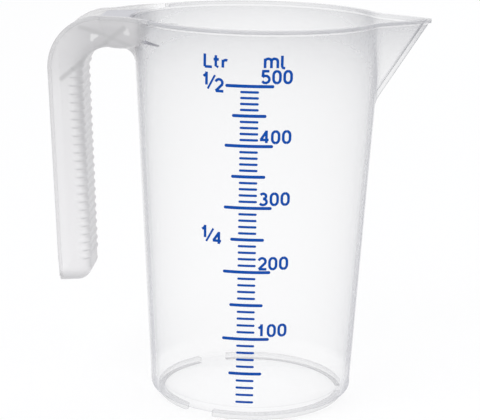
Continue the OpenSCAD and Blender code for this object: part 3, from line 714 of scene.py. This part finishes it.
# The nodes of a material or a world. Every node but the output is made by one method.
class Shader:
    def __init__(self, owner):
        owner.use_nodes = True
        self.owner, self.tree = owner, owner.node_tree
        self.tree.nodes.clear()

    def node(self, kind, settings=None, sockets=None, out=0):
        made = self.tree.nodes.new(kind)
        for key, value in (settings or {}).items():
            setattr(made, key, value)
        for key, value in (sockets or {}).items():
            if isinstance(value, Socket):
                self.tree.links.new(value.socket, made.inputs[key])
            else:
                made.inputs[key].default_value = value
        return Socket(self, made.outputs[out])

    def noise(self, place, scale, detail):
        return self.node("ShaderNodeTexNoise", None, {"Vector": place, "Scale": scale, "Detail": detail}, "Fac")

    def stored(self, name):
        return self.node("ShaderNodeAttribute", {"attribute_name": name}, out="Fac")

    def blend(self, factor, a, b):
        return self.node("ShaderNodeMix", {"data_type": "RGBA"}, {"Factor": factor, "A": a, "B": b}, "Result")

    def bump(self, strength, height):
        sockets = {"Strength": strength, "Distance": 0.1*mm, "Height": height}
        return self.node("ShaderNodeBump", None, sockets, "Normal")

    def finish(self, surface, kind="ShaderNodeOutputMaterial"):
        output = self.tree.nodes.new(kind)
        self.tree.links.new(surface.socket, output.inputs["Surface"])
        return self.owner


# 1 along a straight line from start to end in the plane of x and z, and 0 farther from it than outer.
# The distance is to the line's nearest point.
def segmentMask(x, z, start, end, inner, outer):
    ax, az = start[0]*mm, start[1]*mm
    dx, dz = end[0]*mm - ax, end[1]*mm - az
    along = ((x - ax)*(dx/(dx*dx + dz*dz)) + (z - az)*(dz/(dx*dx + dz*dz))).clamp()
    offX = x - ax - along*dx
    offZ = z - az - along*dz
    distance = (offX*offX + offZ*offZ).math("SQRT")
    return ((outer*mm - distance)/((outer - inner)*mm)).clamp()


# Milky polypropylene. Haze, for one wall's thickness, is low + middle*hh + top*exp(topRate*(h - 1)), where h
# is the height as a share of the cup's. Edge darkens the outline of a round wall near the table, and
# spoutEdge that of the spout's half. Glow is the share of its tone that it gives off. These values and the
# depths and shades stored on the points are fitted to one photograph, so the far side is less opaque.
# Glow is painted light: the plastic gives off that share of its tint though it is no lamp, which flattens its lit
# shading
plainLook = {
    "middle": 0.0, "top": 0.0, "topRate": 1.0,
    "edgePower": 1.0, "edgeScale": 0.0, "edge": 0.0, "spoutEdge": 0.0,
    "cloud": 0.15, "glow": 0.3, "roughness": 0.24, "bump": 0.1, "gloss": 0.3,
    "lines": (), "shadeGaps": (),
}
# Lines and gaps: start, end, half width inside and outside the fade, strength. Both are painted by place on the
# handle's side walls:
# the lines are painted shadows of the two plates behind them, the gaps lift the painted shade between them, and
# shadeColour is the colour of painted shade.
plasticLooks = {
    "cupPlastic": {
        **plainLook, "low": 0.026, "middle": 0.055, "top": 0.45, "topRate": 16.9,
        "edgePower": 1.25, "edgeScale": 0.085, "edge": 0.95, "spoutEdge": 3.4,
        "lowColour": (0.54, 0.54, 0.57, 1), "highColour": (0.50, 0.50, 0.515, 1),
        "shadeColour": (0.40, 0.40, 0.42, 1),
        "cloud": 0.25, "glow": 0.0, "bump": 0.04,
    },
    "handlePlastic": {
        **plainLook, "low": 1.9, "middle": 0.2,
        "lowColour": (0.90, 0.89, 0.90, 1), "highColour": (0.725, 0.72, 0.725, 1),
        "shadeColour": (0.54, 0.535, 0.545, 1), "plateShadowColour": (0.475, 0.475, 0.48, 1),
        "cloud": 0.12, "glow": 0.6, "roughness": 0.32, "bump": 0.15, "gloss": 0.25,
        "lines": (
            (*braceSizes["rising"], 0.3, 1.2, 0.62),
            (*braceSizes["falling"], 0.2, 1.1, 0.5),
        ),
        "shadeGaps": (
            ((-55.5, 126.9), (-55.4, 128.4), 0.3, 0.8, 1.0),
            ((-55.2, 128.3), (-53.7, 128.4), 0.2, 0.7, 1.0),
            ((-55.1, 127.6), (-54.3, 128.2), 0.4, 0.8, 1.0),
            ((-43.3, 130.3), (-42.3, 130.2), 0.4, 1.0, 0.7),
            ((-42.6, 130.5), (-42.6, 131.3), 0.3, 0.9, 0.7),
        ),
    },
    # A darker copy of the plastic: painted shade on the deck and the horn tips
    "shadedPlatePlastic": {
        **plainLook, "low": 1.6,
        "lowColour": (0.47, 0.47, 0.50, 1), "highColour": (0.47, 0.47, 0.50, 1),
        "shadeColour": (0.33, 0.33, 0.36, 1),
        "roughness": 0.4, "gloss": 0.1,
    },
    # A darker copy of the plastic, which paints shade along the handle's free edge
    "shadedBandPlastic": {
        **plainLook, "low": 0.4,
        "lowColour": (0.66, 0.66, 0.68, 1), "highColour": (0.54, 0.54, 0.55, 1),
        "shadeColour": (0.45, 0.45, 0.46, 1),
    },
    "footPlastic": {
        **plainLook, "low": 0.22, "edgePower": 0.6,
        "lowColour": (0.66, 0.66, 0.67, 1), "highColour": (0.66, 0.66, 0.67, 1),
        "shadeColour": (0.42, 0.42, 0.43, 1),
        "roughness": 0.26, "gloss": 0.25,
    },
}
# What all the plastics share
plasticGrain = {
    "flowScale": 38.0, "flowDetail": 3.0, "grainScale": 900.0, "grainDetail": 2.0,
    "grainHeight": 0.15, "grainRoughness": 0.08,
    "edgeCurve": 1.3,
    "spoutFrom": 20.0, "spoutFade": 12.0,      # mm from the axis
    "outline": 0.17, "outlineWidth": 0.05,     # how far the surface turns to the viewer, from 0 to 1
}


# Opacity is 1 - exp(-haze*depth). Haze grows with the length of plastic that is looked through: for a wall of
# thickness w on a cylinder of radius R, seen at cosine f, f - sqrt(ff - 2w/R), which is longest just
# inside the outline.
def makePlastic(name, look):
    shader, g = Shader(bpy.data.materials.new(name)), plasticGrain
    place = shader.node("ShaderNodeTexCoord", out="Object")
    z = shader.node("ShaderNodeSeparateXYZ", None, {"Vector": place}, "Z")
    x = z.beside("X")
    height = z/(cupSizes["height"]*mm)
    facing = 1 - shader.node("ShaderNodeLayerWeight", None, {"Blend": 0.5}, "Facing")
    depth = shader.stored("plasticDepth")
    flow = shader.noise(place, g["flowScale"], g["flowDetail"])
    grain = shader.noise(place, g["grainScale"], g["grainDetail"])

    hollow = 2*cupSizes["wall"]/cupSizes["baseRadius"]
    chord = facing - (facing*facing - hollow).math("MAXIMUM", 0.0).math("SQRT")
    length = (chord/(1 - math.sqrt(1 - hollow)))**look["edgePower"]
    topHaze = look["top"]*((height - 1)*look["topRate"]).math("EXPONENT")
    haze = look["low"] + look["middle"]*height*height + topHaze
    haze = haze*(1 + (flow - 0.5)*look["cloud"])
    rim = ((length - 1)*look["edgeScale"]).math("MAXIMUM", 0.0)**g["edgeCurve"]
    haze = haze*length + rim*(1 - height)*look["edge"]
    spoutSide = ((x - g["spoutFrom"]*mm)/(g["spoutFade"]*mm)).clamp()
    outline = (1 - (facing - g["outline"]).math("ABSOLUTE")/g["outlineWidth"]).math("MAXIMUM", 0.0)
    haze = haze + outline*spoutSide*look["spoutEdge"]
    opacity = 1 - (haze*depth*-1).math("EXPONENT")

    tint = shader.blend(height.clamp(), look["lowColour"], look["highColour"])
    # Painted shade: the stored shade, lifted inside the gaps, mixes the tint towards the shade colour, and the
    # lines paint the plates' shadows
    shade = shader.stored("plasticShade")
    for *segment, strength in look["shadeGaps"]:
        shade = shade*(1 - segmentMask(x, z, *segment)*strength)
    tint = shader.blend(shade, tint, look["shadeColour"])
    for *segment, strength in look["lines"]:
        tint = shader.blend(segmentMask(x, z, *segment)*strength, tint, look["plateShadowColour"])
    # Part of the tint is given off as painted glow, and the base colour darkens by the same share
    surface = shader.node("ShaderNodeBsdfPrincipled", None, {
        "Base Color": shader.blend(look["glow"], tint, (0, 0, 0, 1)),
        "Roughness": look["roughness"] + grain*g["grainRoughness"],
        "Emission Color": tint, "Emission Strength": look["glow"], "Alpha": opacity,
        "Normal": shader.bump(look["bump"], flow + grain*g["grainHeight"]),
        "IOR": 1.49, "Specular IOR Level": look["gloss"],
    })
    return shader.finish(surface)


inkLook = {
    "thin": (0.006, 0.082, 0.41, 1), "thick": (0.003, 0.058, 0.32, 1),
    "scale": 420.0, "detail": 4.0,
    "roughness": 0.5, "roughnessMore": 0.12, "bump": 0.1, "gloss": 0.05,
}
inkNodes = (
    "ten_ml_marks", "fifty_ml_marks", "hundred_ml_marks",
    "volume_numerals", "unit_letters", "litre_fractions",
)


# Printed blue ink, a little uneven in its depth, with a faint grain.
def makeInk():
    look = inkLook
    shader = Shader(bpy.data.materials.new("scaleInk"))
    place = shader.node("ShaderNodeTexCoord", out="Object")
    cloud = shader.noise(place, look["scale"], look["detail"])
    surface = shader.node("ShaderNodeBsdfPrincipled", None, {
        "Base Color": shader.blend(cloud, look["thick"], look["thin"]),
        "Roughness": look["roughness"] + cloud*look["roughnessMore"],
        "Normal": shader.bump(look["bump"], cloud), "Specular IOR Level": look["gloss"],
    })
    return shader.finish(surface)


# The print keeps its own solids, with the ink as their only material.
def inkScale():
    ink = makeInk()
    for name in inkNodes:
        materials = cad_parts[name].data.materials
        materials.clear()
        materials.append(ink)
    print("print inked on", len(inkNodes), "nodes")


# Studio: pale floor, white surroundings and soft lamps. Lengths here are in metres.

studioLook = {
    "skyColour": (0.95, 0.96, 1.0, 1), "skyStrength": 0.62,
    "floorHalf": 3.0, "floorLevel": -0.0003,
    "floorColour": (0.93, 0.93, 0.93, 1), "floorGlow": 0.78,
    "white": (1, 1, 1, 1),
    "aim": (0, 0, 0.06),
    "lamps": {                                 # place, watts, size
        "keyLamp": ((-0.9, -1.1, 1.5), 15.0, 1.2),
        "fillLamp": ((1.2, -0.7, 0.9), 7.0, 1.2),
        "backLamp": ((0.2, 1.4, 1.3), 9.0, 1.4),
    },
}


# White where the camera, a reflection or a refraction looks, and plainly lit elsewhere.
def whiteForView(shader, lit, white):
    camera = shader.node("ShaderNodeLightPath", out="Is Camera Ray")
    seen = camera
    for name in ("Is Glossy Ray", "Is Transmission Ray"):
        seen = seen.math("MAXIMUM", camera.beside(name))
    return shader.node("ShaderNodeMixShader", None, {0: seen, 1: lit, 2: white})


# The floor is a square just under the foot, and each lamp is turned to the jug's middle.
def makeStudio():
    look = studioLook
    world = bpy.data.worlds.new("studio")
    bpy.context.scene.world = world
    shader = Shader(world)
    lit = shader.node("ShaderNodeBackground", None, {"Color": look["skyColour"], "Strength": look["skyStrength"]})
    white = shader.node("ShaderNodeBackground", None, {"Color": look["white"], "Strength": 1.0})
    shader.finish(whiteForView(shader, lit, white), "ShaderNodeOutputWorld")

    size, level = look["floorHalf"], look["floorLevel"]
    mesh = bpy.data.meshes.new("studio_floor")
    corners = [(-size, -size, level), (size, -size, level), (size, size, level), (-size, size, level)]
    mesh.from_pydata(corners, [], [(0, 1, 2, 3)])
    floor = bpy.data.objects.new("studio_floor", mesh)
    bpy.context.collection.objects.link(floor)
    shader = Shader(bpy.data.materials.new("floorPaint"))
    lit = shader.node("ShaderNodeBsdfDiffuse", None, {"Color": look["floorColour"]})
    glow = shader.node("ShaderNodeEmission", None, {"Color": look["white"], "Strength": 1.0})
    white = shader.node("ShaderNodeMixShader", None, {0: look["floorGlow"], 1: lit, 2: glow})
    mesh.materials.append(shader.finish(whiteForView(shader, lit, white)))

    for name, (place, energy, across) in look["lamps"].items():
        lamp = bpy.data.lights.new(name, "AREA")
        lamp.energy, lamp.size = energy, across
        holder = bpy.data.objects.new(name, lamp)
        holder.location = place
        holder.rotation_euler = (Vector(look["aim"]) - Vector(place)).to_track_quat("-Z", "Y").to_euler()
        bpy.context.collection.objects.link(holder)
    print("studio made")


# Camera of the photograph

cameraSettings = {
    "place": (0.02871, -0.54776, 0.20087),
    "yaw": -0.0613, "pitch": 0.2408, "roll": -0.0195,   # radians
    "focalPixels": 1597.64, "framePixels": 480.0,
    "sensorWidth": 36.0, "clipStart": 0.01,
}


# The view is turned by yaw about the upright, down by pitch, and about itself by roll.
def makeCamera():
    c = cameraSettings
    yaw, pitch, roll = c["yaw"], c["pitch"], c["roll"]
    forward = Vector((math.sin(yaw)*math.cos(pitch), math.cos(yaw)*math.cos(pitch), -math.sin(pitch)))
    right = Vector((math.cos(yaw), -math.sin(yaw), 0))
    down = forward.cross(right)
    turnedRight = right*math.cos(roll) + down*math.sin(roll)
    turnedDown = down*math.cos(roll) - right*math.sin(roll)
    camera = bpy.data.cameras.new("camera")
    camera.sensor_fit = "HORIZONTAL"
    camera.sensor_width = c["sensorWidth"]
    camera.lens = c["focalPixels"]*camera.sensor_width/c["framePixels"]
    camera.clip_start = c["clipStart"]
    holder = bpy.data.objects.new("camera", camera)
    turn = Matrix((turnedRight, -turnedDown, -forward)).transposed()
    holder.matrix_world = Matrix.Translation(Vector(c["place"])) @ turn.to_4x4()
    bpy.context.collection.objects.link(holder)
    bpy.context.scene.camera = holder
    print("camera set")


# Everything is made here

plastics = {name: makePlastic(name, look) for name, look in plasticLooks.items()}
print("plastics made:", len(plastics))
makeCup()
makeFoot()
handleGrid, handleNormal = makeHandle()
makeEdgeBand(handleGrid, handleNormal)
makeBraces()
makeHornTips()
inkScale()
makeStudio()
makeCamera()
bpy.context.scene.view_settings.view_transform = "Standard"
# A look through the handle's root passes more thin walls than the usual limit of see-through surfaces
bpy.context.scene.cycles.transparent_max_bounces = 40
